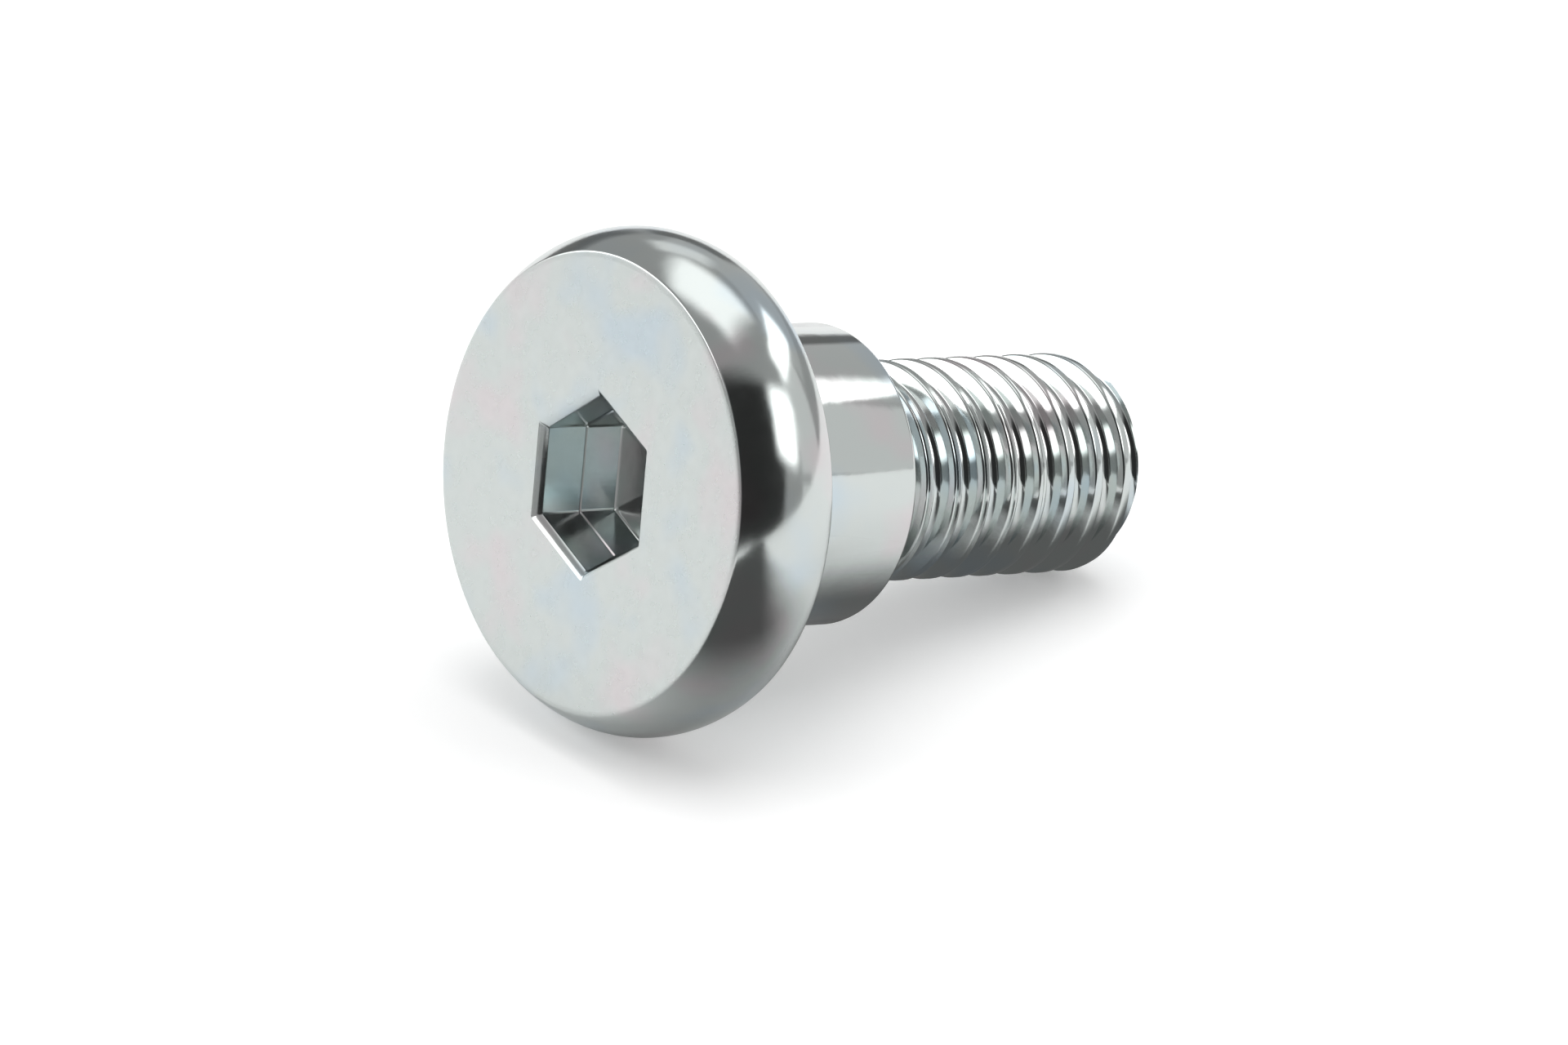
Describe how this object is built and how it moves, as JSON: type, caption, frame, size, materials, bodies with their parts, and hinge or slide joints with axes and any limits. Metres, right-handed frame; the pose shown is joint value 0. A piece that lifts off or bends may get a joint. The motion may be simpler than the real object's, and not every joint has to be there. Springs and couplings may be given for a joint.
{
  "type": "shoulder bolt",
  "caption": "Steel shoulder bolt with a wide flat head and rounded rim, hexagon socket, plain bearing shoulder and metric thread, for a joint that has to turn.",
  "frame": {"origin": "middle of the head's flat face, which the bolt stands on", "axes": "+Z along the bolt's axis from the head through the shoulder to the end of the thread; +X square to one flat of the hexagon socket"},
  "size_m": [0.0134, 0.0134, 0.0172],
  "materials": {
    "zinc_plated_steel": "bright zinc plate over cold headed steel, clear passivated"
  },
  "bodies": {
    "root": {"shoulder_bolt": "zinc_plated_steel"}
  },
  "joints": []
}
